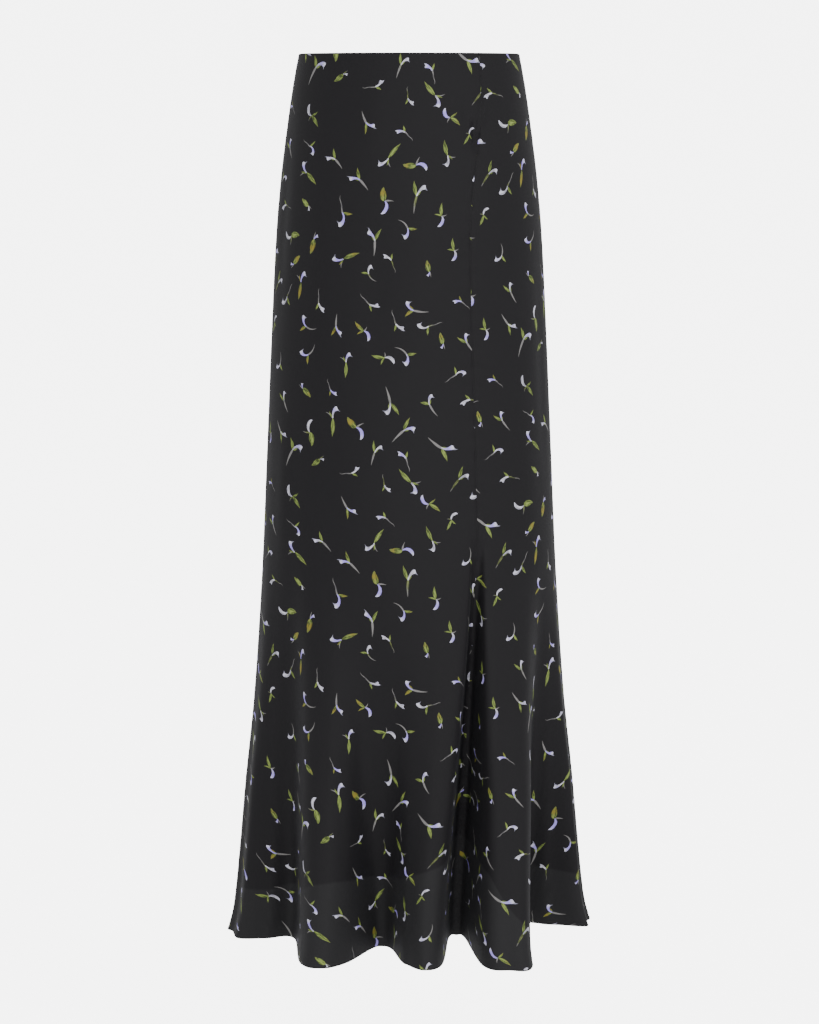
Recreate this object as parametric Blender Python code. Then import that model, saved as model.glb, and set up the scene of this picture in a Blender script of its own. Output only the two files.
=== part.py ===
"""A long flared silk skirt, hollow as it is worn, with its lining.

Metres, +Z up. The origin is the middle of the waist opening, at the waist's top edge, and the
skirt hangs down from it. -Y is the front. Girth angles run round the body seen from above: 0 is
the side seam at -X, 90 the middle of the front, 180 the side seam at +X, 270 the middle of the
back. A drop is a distance below the waist edge.
"""

from collections import namedtuple
from functools import lru_cache
from math import cos, radians, sin

import bpy
from mathutils import Vector

# Sizes of the whole garment
LENGTH = 0.972
WALL = 0.001
SEAM_GAP = 0.00036

# The lining touches the cloth at the waist and hangs a little inside it lower down
LINING_GAP_AT_WAIST = 0.0003
LINING_GAP = 0.0045
LINING_FREE_FROM = 0.10

# The body line: how wide and deep the skirt stands at each drop, before any fold
Section = namedtuple("Section", "drop half_width front back squareness")
SECTIONS = [
    Section(0.000, 0.1165, 0.092, 0.090, 2.00),
    Section(0.018, 0.1210, 0.094, 0.095, 2.00),
    Section(0.046, 0.1263, 0.098, 0.104, 2.00),
    Section(0.089, 0.1330, 0.106, 0.118, 2.00),
    Section(0.131, 0.1383, 0.112, 0.128, 2.00),
    Section(0.190, 0.1437, 0.116, 0.134, 2.00),
    Section(0.300, 0.1497, 0.118, 0.134, 2.00),
    Section(0.436, 0.1560, 0.121, 0.133, 2.05),
    Section(0.570, 0.1625, 0.126, 0.134, 2.10),
    Section(0.705, 0.1722, 0.132, 0.138, 2.15),
    Section(0.796, 0.1820, 0.137, 0.142, 2.20),
    Section(0.888, 0.1905, 0.143, 0.146, 2.25),
    Section(0.945, 0.1970, 0.147, 0.149, 2.30),
    Section(0.972, 0.2035, 0.150, 0.152, 2.30),
]

# The folds: where each ridge, valley or flat of the hem stands in plan, which way it faces, how
# wide it is, how far its shoulders turn back, the drop at which it starts, how fast it grows and
# how far its hem lifts
Fold = namedtuple("Fold", "name girth x y facing width turn start power lift")
FOLDS = [
    Fold("side_right", 0.0, -0.2035, -0.002, 0, 0.024, 0.006, 0.50, 1.4, 0.002),
    Fold("flat_a", 29.0, -0.1592, -0.038, 90, 0.062, 0.001, 0.52, 1.4, 0.001),
    Fold("ridge_b", 59.0, -0.0925, -0.1430, 90, 0.051, 0.020, 0.50, 1.4, 0.000),
    Fold("valley_bc", 79.0, -0.0305, -0.0670, 90, 0.024, -0.012, 0.50, 1.8, 0.001),
    Fold("ridge_c", 96.0, 0.0160, -0.1495, 90, 0.040, 0.021, 0.50, 1.4, 0.000),
    Fold("valley_cd", 116.5, 0.0530, -0.0350, 90, 0.018, -0.012, 0.50, 1.2, 0.004),
    Fold("ridge_d", 137.0, 0.1065, -0.1500, 90, 0.054, 0.017, 0.50, 1.4, 0.000),
    Fold("flat_e", 159.0, 0.1610, -0.0060, 90, 0.064, 0.000, 0.54, 1.4, 0.007),
    Fold("side_left", 180.0, 0.2030, 0.0190, 182, 0.022, 0.005, 0.50, 1.4, 0.007),
    Fold("valley_ef", 198.0, 0.1540, 0.052, 204, 0.018, -0.008, 0.55, 1.6, 0.004),
    Fold("ridge_f", 214.0, 0.1470, 0.104, 214, 0.036, 0.018, 0.50, 1.5, 0.000),
    Fold("valley_fg", 229.0, 0.0810, 0.090, 229, 0.024, -0.012, 0.56, 1.6, 0.001),
    Fold("ridge_g", 243.0, 0.0740, 0.144, 243, 0.038, 0.019, 0.52, 1.5, 0.000),
    Fold("valley_gh", 257.0, 0.0265, 0.099, 256, 0.024, -0.013, 0.50, 1.6, 0.001),
    Fold("ridge_h", 271.0, -0.0040, 0.155, 271, 0.038, 0.020, 0.56, 1.5, 0.000),
    Fold("valley_hi", 285.0, -0.0310, 0.102, 285, 0.026, -0.013, 0.48, 1.6, 0.001),
    Fold("ridge_i", 299.0, -0.0810, 0.141, 299, 0.038, 0.019, 0.54, 1.5, 0.000),
    Fold("valley_ij", 313.0, -0.0840, 0.088, 312, 0.024, -0.012, 0.52, 1.6, 0.001),
    Fold("ridge_j", 328.0, -0.1490, 0.100, 326, 0.036, 0.018, 0.52, 1.5, 0.000),
    Fold("valley_ja", 344.0, -0.1550, 0.046, 338, 0.018, -0.007, 0.54, 1.6, 0.002),
]

# Where the deep front fold begins, the cloth on both sides of the front seam is drawn to the seam
SEAM_GIRTH = 116.5
PINCH_DROP = 0.50
PINCH_ABOVE = 0.22
PINCH_CORE = 10.0
PINCH_REACH = 34.0
PINCH_LEAST = 0.25

# The front seam leans towards the side as it nears the waist
SEAM_AT_WAIST = 128.5
SEAM_STRAIGHT_FROM = 0.20

# The outer panels: the girths they run between at the hem and how many columns each has
Panel = namedtuple("Panel", "name start end columns")
PANELS = [
    Panel("front_panel", 0.0, SEAM_GIRTH, 42),
    Panel("front_side_panel", SEAM_GIRTH, 180.0, 20),
    Panel("back_panel", 180.0, 360.0, 36),
]
SHELL_DROPS = (
    0.0, 0.022, 0.060, 0.115, 0.190, 0.290, 0.390, 0.480, 0.530, 0.575, 0.625, 0.680, 0.740,
    0.795, 0.845, 0.885, 0.930, LENGTH,
)
LINING_DROPS = (0.0, 0.060, 0.190, 0.390, 0.530, 0.575, 0.625, 0.680, 0.740, 0.845, 0.885)

SILK_BLACK = (0.022, 0.021, 0.024, 1.0)
LINING_BLACK = (0.012, 0.012, 0.014, 1.0)

def curve_through(keys, at, period=None):
    """A smooth curve through (place, value, ...) keys, read at one place. Values are vectors."""
    places = [k[0] for k in keys]
    values = [k[1] for k in keys]
    if period:
        at = (at - places[0]) % period + places[0]
        places = [places[-1] - period, *places, places[0] + period, places[1] + period]
        values = [values[-1], *values, values[0], values[1]]
    else:
        at = min(max(at, places[0]), places[-1])
        places = [2 * places[0] - places[1], *places, 2 * places[-1] - places[-2]]
        values = [2 * values[0] - values[1], *values, 2 * values[-1] - values[-2]]
    k = 1
    while k < len(places) - 3 and at > places[k + 1]:
        k += 1
    span = places[k + 1] - places[k]
    s = (at - places[k]) / span
    slope_in = (values[k + 1] - values[k - 1]) * (span / (places[k + 1] - places[k - 1]))
    slope_out = (values[k + 2] - values[k]) * (span / (places[k + 2] - places[k]))
    return (
        values[k] * (2 * s**3 - 3 * s**2 + 1)
        + slope_in * (s**3 - 2 * s**2 + s)
        + values[k + 1] * (3 * s**2 - 2 * s**3)
        + slope_out * (s**3 - s**2)
    )


def smooth(s):
    """0 below 0, 1 above 1, with a soft start and end."""
    s = min(max(s, 0.0), 1.0)
    return s * s * (3 - 2 * s)


SECTION_KEYS = [
    (row.drop, Vector((row.half_width, row.front, row.back, row.squareness))) for row in SECTIONS
]


def body_point(girth, drop):
    """The plan point of the skirt's smooth body line, with no fold."""
    half_width, front, back, squareness = curve_through(SECTION_KEYS, drop)
    c, s = cos(radians(girth)), sin(radians(girth))
    power = 2 / squareness
    depth = front if s > 0 else back
    x = -half_width * abs(c) ** power * (1 if c > 0 else -1)
    y = -depth * abs(s) ** power * (1 if s > 0 else -1)
    return Vector((x, y))


def fold_keys():
    """Three keys for each fold row: its two shoulders and its middle."""
    keys = []
    for i, fold in enumerate(FOLDS):
        before = (fold.girth - FOLDS[i - 1].girth) % 360
        after = (FOLDS[(i + 1) % len(FOLDS)].girth - fold.girth) % 360
        outward = Vector((-cos(radians(fold.facing)), -sin(radians(fold.facing))))
        half = Vector((-outward.y, outward.x)) * fold.width / 2
        middle = Vector((fold.x, fold.y))
        turned = middle - outward * fold.turn
        for girth, point in (
            (fold.girth - 0.36 * before, turned - half),
            (fold.girth, middle),
            (fold.girth + 0.36 * after, turned + half),
        ):
            shift = point - body_point(girth, LENGTH)
            keys.append((girth, shift, fold.start, fold.power, fold.lift))
    return keys


FOLD_KEYS = fold_keys()


def drawn_to_seam(girth, drop):
    """The body-line girth a place takes, drawn towards the front seam near its deep fold."""
    offset = girth - SEAM_GIRTH
    span = LENGTH - PINCH_DROP if drop > PINCH_DROP else PINCH_ABOVE
    least = PINCH_LEAST + (1 - PINCH_LEAST) * smooth(abs(drop - PINCH_DROP) / span)
    share = least + (1 - least) * smooth((abs(offset) - PINCH_CORE) / (PINCH_REACH - PINCH_CORE))
    return SEAM_GIRTH + offset * share


def cloth_point(girth, drop):
    """A point of the skirt's outer face."""
    keys = []
    for place, shift, start, power, lift in FOLD_KEYS:
        grown = max(0.0, (drop - start) / (LENGTH - start)) ** power
        keys.append((place, Vector((shift.x * grown, shift.y * grown, lift))))
    shift_x, shift_y, lift = curve_through(keys, girth, period=360)
    body = body_point(drawn_to_seam(girth % 360, drop), drop)
    z = -drop + lift * (drop / LENGTH) ** 3
    return Vector((body.x + shift_x, body.y + shift_y, z))


@lru_cache(maxsize=None)
def inward_keys(drop):
    """At each fold key, the level direction that points into the hollow."""
    places = [key[0] for key in FOLD_KEYS]
    points = [cloth_point(place, drop) for place in places]
    keys = []
    for i, place in enumerate(places):
        along = points[(i + 1) % len(points)] - points[i - 1]
        keys.append((place, Vector((-along.y, along.x, 0.0)).normalized()))
    return keys


def lining_point(girth, drop):
    """A point of the lining's outer face."""
    free = smooth(drop / LINING_FREE_FROM)
    gap = LINING_GAP_AT_WAIST + (LINING_GAP - LINING_GAP_AT_WAIST) * free
    inward = curve_through(inward_keys(drop), girth, period=360)
    return cloth_point(girth, drop) + inward * (WALL + gap)


def inward_normal(point_at, girth, drop):
    """The unit normal of a layer, pointing into the hollow."""
    step = 0.05
    rise = 0.001
    round_body = point_at(girth + step, drop) - point_at(girth - step, drop)
    down = point_at(girth, min(drop + rise, LENGTH)) - point_at(girth, max(drop - rise, 0.0))
    return round_body.cross(down).normalized()


def even_places(start, end, columns):
    """Girths from start to end that stand evenly spaced along the hem."""
    steps = 40 * columns
    girths = [start + (end - start) * i / steps for i in range(steps + 1)]
    points = [cloth_point(girth, LENGTH) for girth in girths]
    walked = [0.0]
    for a, b in zip(points, points[1:]):
        walked.append(walked[-1] + (b - a).length)
    places = []
    i = 0
    for column in range(columns + 1):
        while i < steps and walked[i] < walked[-1] * column / columns - 1e-9:
            i += 1
        places.append(girths[i])
    return places


def leaned(girth, drop):
    """The girth a column takes higher up, where the front seam leans to the side."""
    lean = (SEAM_AT_WAIST - SEAM_GIRTH) * (1 - smooth(drop / SEAM_STRAIGHT_FROM))
    if girth <= SEAM_GIRTH:
        return girth + lean * girth / SEAM_GIRTH
    if girth <= 180:
        return girth + lean * (180 - girth) / (180 - SEAM_GIRTH)
    return girth


def add_piece(name, point_at, girths, drops, material):
    """One closed cloth piece: an outer face, an inner face a wall's thickness in, and its edges."""
    columns = len(girths) - 1
    rows = len(drops) - 1
    outer = []
    inner = []
    for drop in drops:
        row = [leaned(girth, drop) for girth in girths]
        points = [point_at(girth, drop) for girth in row]
        points[0] += (points[1] - points[0]).normalized() * SEAM_GAP / 2
        points[-1] += (points[-2] - points[-1]).normalized() * SEAM_GAP / 2
        walls = [inward_normal(point_at, girth, drop) * WALL for girth in row]
        outer += points
        inner += [point + wall for point, wall in zip(points, walls)]
    count = len(outer)
    faces = []
    for r in range(rows):
        for c in range(columns):
            a = r * (columns + 1) + c
            b = a + columns + 1
            faces.append((a, b, b + 1, a + 1))
            faces.append((count + a, count + a + 1, count + b + 1, count + b))
    for c in range(columns):
        a = c
        b = rows * (columns + 1) + c
        faces.append((a, a + 1, count + a + 1, count + a))
        faces.append((b + 1, b, count + b, count + b + 1))
    for r in range(rows):
        a = r * (columns + 1)
        b = a + columns + 1
        faces.append((b, a, count + a, count + b))
        faces.append((a + columns, b + columns, count + b + columns, count + a + columns))
    mesh = bpy.data.meshes.new(name)
    mesh.from_pydata([tuple(p) for p in outer + inner], [], faces)
    mesh.materials.append(material)
    mesh.validate()
    piece = bpy.data.objects.new(name, mesh)
    collection.objects.link(piece)


def cloth_material(name, colour, roughness):
    material = bpy.data.materials.new(name)
    material.use_nodes = True
    shader = material.node_tree.nodes["Principled BSDF"]
    shader.inputs["Base Color"].default_value = colour
    shader.inputs["Roughness"].default_value = roughness
    return material


for old in list(bpy.data.objects):
    bpy.data.objects.remove(old)

collection = bpy.data.collections.new("midi_skirt")
bpy.context.scene.collection.children.link(collection)

panel_girths = [even_places(panel.start, panel.end, panel.columns) for panel in PANELS]
for panel, girths in zip(PANELS, panel_girths):
    silk = cloth_material(f"{panel.name}_silk", SILK_BLACK, 0.5)
    add_piece(panel.name, cloth_point, girths, SHELL_DROPS, silk)

front_girths = panel_girths[0] + panel_girths[1][1:]
for name, girths in (("lining_front", front_girths), ("lining_back", panel_girths[2])):
    lining = cloth_material(f"{name}_cloth", LINING_BLACK, 0.6)
    add_piece(name, lining_point, girths, LINING_DROPS, lining)
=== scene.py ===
from collections import namedtuple
from math import cos, exp, pi, radians, sin

import bpy
import numpy as np
from mathutils import Euler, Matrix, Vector
from mathutils.geometry import delaunay_2d_cdt


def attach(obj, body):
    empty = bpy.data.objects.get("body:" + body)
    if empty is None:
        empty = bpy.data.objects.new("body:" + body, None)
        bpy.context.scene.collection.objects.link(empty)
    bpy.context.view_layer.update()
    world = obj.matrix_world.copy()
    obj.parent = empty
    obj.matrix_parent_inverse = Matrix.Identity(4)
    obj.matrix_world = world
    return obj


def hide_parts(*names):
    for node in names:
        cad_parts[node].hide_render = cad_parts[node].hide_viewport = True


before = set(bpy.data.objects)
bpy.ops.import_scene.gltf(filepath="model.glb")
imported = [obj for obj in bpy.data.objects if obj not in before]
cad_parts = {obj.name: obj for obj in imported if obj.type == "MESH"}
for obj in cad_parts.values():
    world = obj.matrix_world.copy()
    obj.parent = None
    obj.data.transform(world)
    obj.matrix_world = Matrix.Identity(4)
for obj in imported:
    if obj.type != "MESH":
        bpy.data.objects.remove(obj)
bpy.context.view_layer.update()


# Front panel.
# The widest piece: black silk crepe printed with small sprigs, cut flared and hung from the waist,
# where its spare width at the hem falls into deep soft folds. Its right edge is a plain seam.

LENGTH = 0.972
SILK_THICKNESS = 0.0005

# The body line: how wide and deep the skirt stands at each drop, before any fold
Section = namedtuple("Section", "drop half_width front back squareness")
SECTIONS = [
    Section(0.000, 0.1187, 0.092, 0.090, 2.00),
    Section(0.018, 0.1221, 0.094, 0.095, 2.00),
    Section(0.046, 0.1268, 0.098, 0.104, 2.00),
    Section(0.089, 0.1330, 0.106, 0.118, 2.00),
    Section(0.131, 0.1383, 0.112, 0.128, 2.00),
    Section(0.190, 0.1437, 0.116, 0.134, 2.00),
    Section(0.300, 0.1497, 0.118, 0.134, 2.00),
    Section(0.436, 0.1560, 0.121, 0.133, 2.05),
    Section(0.570, 0.1625, 0.126, 0.134, 2.10),
    Section(0.705, 0.1722, 0.132, 0.138, 2.15),
    Section(0.796, 0.1820, 0.137, 0.142, 2.20),
    Section(0.888, 0.1905, 0.143, 0.146, 2.25),
    Section(0.945, 0.1970, 0.147, 0.149, 2.30),
    Section(0.972, 0.2035, 0.150, 0.152, 2.30),
]

# The folds at the hem: each ridge, valley or flat, where it stands in plan, which way it faces,
# how wide it is, how far its shoulders turn back, where it starts, how it grows, how it lifts
Fold = namedtuple("Fold", "name girth x y facing width turn start power lift")
FOLDS = [
    Fold("side_right", 0.0, -0.2035, -0.002, 0, 0.024, 0.006, 0.50, 1.4, 0.002),
    Fold("flat_a", 29.0, -0.1592, -0.038, 90, 0.062, 0.001, 0.52, 1.4, 0.001),
    Fold("ridge_b", 59.0, -0.0925, -0.1430, 90, 0.051, 0.020, 0.50, 1.4, 0.000),
    Fold("valley_bc", 79.0, -0.0305, -0.0670, 90, 0.024, -0.012, 0.50, 1.8, 0.001),
    Fold("ridge_c", 96.0, 0.0160, -0.1495, 90, 0.040, 0.021, 0.50, 1.4, 0.000),
    Fold("valley_cd", 116.5, 0.0530, -0.0350, 90, 0.018, -0.012, 0.50, 1.2, 0.004),
    Fold("ridge_d", 137.0, 0.1065, -0.1500, 90, 0.054, 0.017, 0.50, 1.4, 0.000),
    Fold("flat_e", 159.0, 0.1600, -0.0060, 90, 0.077, -0.006, 0.54, 1.4, 0.007),
    Fold("side_left", 180.0, 0.2043, 0.0190, 182, 0.022, 0.005, 0.50, 1.4, 0.007),
    Fold("valley_ef", 198.0, 0.1540, 0.052, 204, 0.018, -0.008, 0.55, 1.6, 0.004),
    Fold("ridge_f", 214.0, 0.1470, 0.104, 214, 0.036, 0.018, 0.50, 1.5, 0.000),
    Fold("valley_fg", 229.0, 0.0810, 0.090, 229, 0.024, -0.012, 0.56, 1.6, 0.001),
    Fold("ridge_g", 243.0, 0.0740, 0.144, 243, 0.038, 0.019, 0.52, 1.5, 0.000),
    Fold("valley_gh", 257.0, 0.0265, 0.099, 256, 0.024, -0.013, 0.50, 1.6, 0.001),
    Fold("ridge_h", 271.0, -0.0040, 0.155, 271, 0.038, 0.020, 0.56, 1.5, 0.000),
    Fold("valley_hi", 285.0, -0.0310, 0.102, 285, 0.026, -0.013, 0.48, 1.6, 0.001),
    Fold("ridge_i", 299.0, -0.0810, 0.141, 299, 0.038, 0.019, 0.54, 1.5, 0.000),
    Fold("valley_ij", 313.0, -0.0840, 0.088, 312, 0.024, -0.012, 0.52, 1.6, 0.001),
    Fold("ridge_j", 328.0, -0.1490, 0.100, 326, 0.036, 0.018, 0.52, 1.5, 0.000),
    Fold("valley_ja", 344.0, -0.1550, 0.046, 338, 0.018, -0.007, 0.54, 1.6, 0.002),
]

# Soft creases laid over that form: middle girth, top and bottom drop, half width in degrees,
# sideways drift in degrees from top to bottom, and height in millimetres
Crease = namedtuple("Crease", "girth top bottom reach drift height")
CREASES = [
    Crease(74.0, 0.012, 0.130, 12.0, -2.0, 1.6),
    Crease(49.0, 0.060, 0.380, 15.0, 3.0, 2.0),
    Crease(74.0, 0.100, 0.420, 13.0, 4.0, -1.8),
    Crease(95.0, 0.080, 0.360, 11.0, 2.0, 1.6),
    Crease(18.0, 0.030, 0.330, 10.0, 3.0, -1.5),
    Crease(30.0, 0.340, 0.600, 9.0, 3.0, 1.5),
    Crease(58.0, 0.380, 0.680, 12.0, 3.0, -1.5),
    Crease(82.0, 0.400, 0.700, 11.0, 2.0, 1.3),
    Crease(126.0, 0.034, 0.084, 3.6, -1.0, 3.6),
    Crease(122.0, 0.058, 0.110, 3.6, -0.5, -5.0),
    Crease(118.0, 0.030, 0.100, 5.0, -1.0, -1.6),
    Crease(143.0, 0.300, 0.600, 9.0, 3.0, 1.4),
    Crease(161.0, 0.160, 0.520, 9.0, -2.0, -1.3),
    Crease(205.0, 0.100, 0.440, 12.0, 2.0, 1.4),
    Crease(225.0, 0.240, 0.580, 12.0, 2.0, -1.6),
    Crease(258.0, 0.180, 0.520, 12.0, 0.0, 1.5),
    Crease(287.0, 0.260, 0.600, 12.0, -2.0, -1.6),
    Crease(322.0, 0.200, 0.520, 12.0, 0.0, 1.5),
]

# The deep front fold begins where the cloth on both sides of the front seam is drawn to the seam,
# and the seam leans towards the side as it nears the waist
SEAM_GIRTH = 116.5
SEAM_AT_WAIST = 128.5
SEAM_STRAIGHT_FROM = 0.20
PINCH_DROP = 0.50
PINCH_ABOVE = 0.22
PINCH_CORE = 10.0
PINCH_REACH = 34.0
PINCH_LEAST = 0.25

# The waist edge dips a little at the side seams
SIDE_DIP = 0.0016
SIDE_DIP_REACH = 7.0
SIDE_DIP_FADES_BY = 0.02

# A fold's shoulders stand this share of the way to its neighbours, and its hem lifts by this power
SHOULDER_AT = 0.36
LIFT_POWER = 3


def smooth(share):
    share = np.clip(share, 0.0, 1.0)
    return share * share * (3 - 2 * share)


def through(places, values, at):
    """A smooth curve through the values at their places, read at each place in at."""
    k = np.clip(np.searchsorted(places, at, side="right") - 1, 1, len(places) - 3)
    span = places[k + 1] - places[k]
    s = ((at - places[k]) / span)[:, None]
    rise_in = (values[k + 1] - values[k - 1]) * (span / (places[k + 1] - places[k - 1]))[:, None]
    rise_out = (values[k + 2] - values[k]) * (span / (places[k + 2] - places[k]))[:, None]
    return (
        values[k] * (2 * s**3 - 3 * s**2 + 1)
        + rise_in * (s**3 - 2 * s**2 + s)
        + values[k + 1] * (3 * s**2 - 2 * s**3)
        + rise_out * (s**3 - s**2)
    )


def section_at(drops):
    rows = np.array(SECTIONS)
    first = 2 * rows[0] - rows[1]
    last = 2 * rows[-1] - rows[-2]
    rows = np.vstack([first, rows, last])
    return through(rows[:, 0], rows[:, 1:], np.atleast_1d(drops))


def body_points(girths, drop):
    half_width, front, back, squareness = section_at(drop)[0]
    c = np.cos(np.radians(girths))
    s = np.sin(np.radians(girths))
    x = -half_width * np.sign(c) * np.abs(c) ** (2 / squareness)
    y = -np.where(s > 0, front, back) * np.sign(s) * np.abs(s) ** (2 / squareness)
    return np.stack([x, y], axis=1)


def fold_keys():
    keys = []
    for i, fold in enumerate(FOLDS):
        before = (fold.girth - FOLDS[i - 1].girth) % 360
        after = (FOLDS[(i + 1) % len(FOLDS)].girth - fold.girth) % 360
        outward = -np.array([cos(radians(fold.facing)), sin(radians(fold.facing))])
        half = np.array([-outward[1], outward[0]]) * fold.width / 2
        middle = np.array([fold.x, fold.y])
        turned = middle - outward * fold.turn
        for girth, point in (
            (fold.girth - SHOULDER_AT * before, turned - half),
            (fold.girth, middle),
            (fold.girth + SHOULDER_AT * after, turned + half),
        ):
            shift = point - body_points(np.array([girth]), LENGTH)[0]
            keys.append((girth, *shift, fold.start, fold.power, fold.lift))
    keys = np.array(keys)
    before = keys[-4:] - [360, 0, 0, 0, 0, 0]
    after = keys[:4] + [360, 0, 0, 0, 0, 0]
    return np.vstack([before, keys, after])


GIRTH_STEP = 0.25
GIRTHS = np.arange(-12.0, 372.01, GIRTH_STEP)
DROPS = np.linspace(0.0, LENGTH, 487)


def hang():
    """The hung cloth as a table of points: one row for each drop, one column for each girth."""
    place, shift_x, shift_y, start, power, lift = fold_keys().T
    to_side = (GIRTHS + 90) % 180 - 90
    side_dip = SIDE_DIP * np.exp(-((to_side / SIDE_DIP_REACH) ** 2))
    rows = []
    for drop in DROPS:
        grown = np.clip((drop - start) / (LENGTH - start), 0, 1) ** power
        values = np.stack([shift_x * grown, shift_y * grown, lift], axis=1)
        shift = through(place, values, GIRTHS)
        offset = GIRTHS % 360 - SEAM_GIRTH
        span = LENGTH - PINCH_DROP if drop > PINCH_DROP else PINCH_ABOVE
        least = PINCH_LEAST + (1 - PINCH_LEAST) * smooth(abs(drop - PINCH_DROP) / span)
        core = smooth((np.abs(offset) - PINCH_CORE) / (PINCH_REACH - PINCH_CORE))
        body = body_points(SEAM_GIRTH + offset * (least + (1 - least) * core), drop)
        z = -drop + shift[:, 2] * (drop / LENGTH) ** LIFT_POWER
        z -= side_dip * exp(-drop / SIDE_DIP_FADES_BY)
        rows.append(np.column_stack([body + shift[:, :2], z]))
    return np.array(rows)


def unit(vectors):
    return vectors / np.maximum(np.linalg.norm(vectors, axis=-1, keepdims=True), 1e-12)


def outward_of(points):
    return unit(np.cross(np.gradient(points, axis=0), np.gradient(points, axis=1)))


CREASE_SPREAD = 0.6


def crease_height(girths, drops):
    """How far the soft creases raise the cloth, in metres, for a grid of girths and drops."""
    height = np.zeros((len(drops), len(girths)))
    for crease in CREASES:
        share = (drops - crease.top) / (crease.bottom - crease.top)
        along = np.sin(np.clip(share, 0, 1) * pi) ** 2
        middle = crease.girth + crease.drift * share
        spread = crease.reach * CREASE_SPREAD
        across = np.exp(-(((girths[None, :] - middle[:, None]) / spread) ** 2))
        height += crease.height * 0.001 * along[:, None] * across
    return height


hung = hang()
hung += outward_of(hung) * crease_height(GIRTHS, DROPS)[:, :, None]
hung_outward = outward_of(hung)
hung_across = unit(np.gradient(hung, axis=1))
hung_down = unit(np.gradient(hung, axis=0))
walked = np.linalg.norm(np.diff(hung, axis=1), axis=2)
arc = np.concatenate([np.zeros((len(DROPS), 1)), np.cumsum(walked, axis=1)], axis=1)


def read(table, girths, drops):
    """The table's value at each pair of a girth and a drop."""
    column = np.clip((girths - GIRTHS[0]) / GIRTH_STEP, 0, len(GIRTHS) - 1.001)
    row = np.clip(drops / (DROPS[1] - DROPS[0]), 0, len(DROPS) - 1.001)
    c = column.astype(int)
    r = row.astype(int)
    u = (column - c)[:, None]
    v = (row - r)[:, None]
    upper = table[r, c] * (1 - u) + table[r, c + 1] * u
    lower = table[r + 1, c] * (1 - u) + table[r + 1, c + 1] * u
    return upper * (1 - v) + lower * v


def seam_line(drops):
    """The girth of the front seam at each drop."""
    return SEAM_GIRTH + (SEAM_AT_WAIST - SEAM_GIRTH) * (1 - smooth(drops / SEAM_STRAIGHT_FROM))


class Pattern:
    """A flared pattern piece laid flat. across is measured from its middle line, and both across
    and down are in metres, so what is drawn on it keeps its true size when it hangs."""

    def __init__(self, start, end, start_sink, end_sink):
        self.start_sink = start_sink
        self.end_sink = end_sink
        self.start = np.array([np.interp(g, GIRTHS, row) for g, row in zip(start, arc)])
        self.end = np.array([np.interp(g, GIRTHS, row) for g, row in zip(end, arc)])
        self.middle = (self.start + self.end) / 2
        self.half = (self.end - self.start) / 2

    def half_width(self, down):
        return np.interp(down, DROPS, self.half)

    def girth(self, across, down):
        """The girth at which each flat point hangs."""
        row = np.clip(down / (DROPS[1] - DROPS[0]), 0, len(DROPS) - 1.001)
        r = row.astype(int)
        found = np.zeros(len(across))
        for k in np.unique(r):
            here = r == k
            upper = np.interp(across[here] + self.middle[k], arc[k], GIRTHS)
            lower = np.interp(across[here] + self.middle[k + 1], arc[k + 1], GIRTHS)
            share = row[here] - k
            found[here] = upper * (1 - share) + lower * share
        return found

    def area(self):
        return float(np.sum(self.half * 2) * (DROPS[1] - DROPS[0]))


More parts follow.
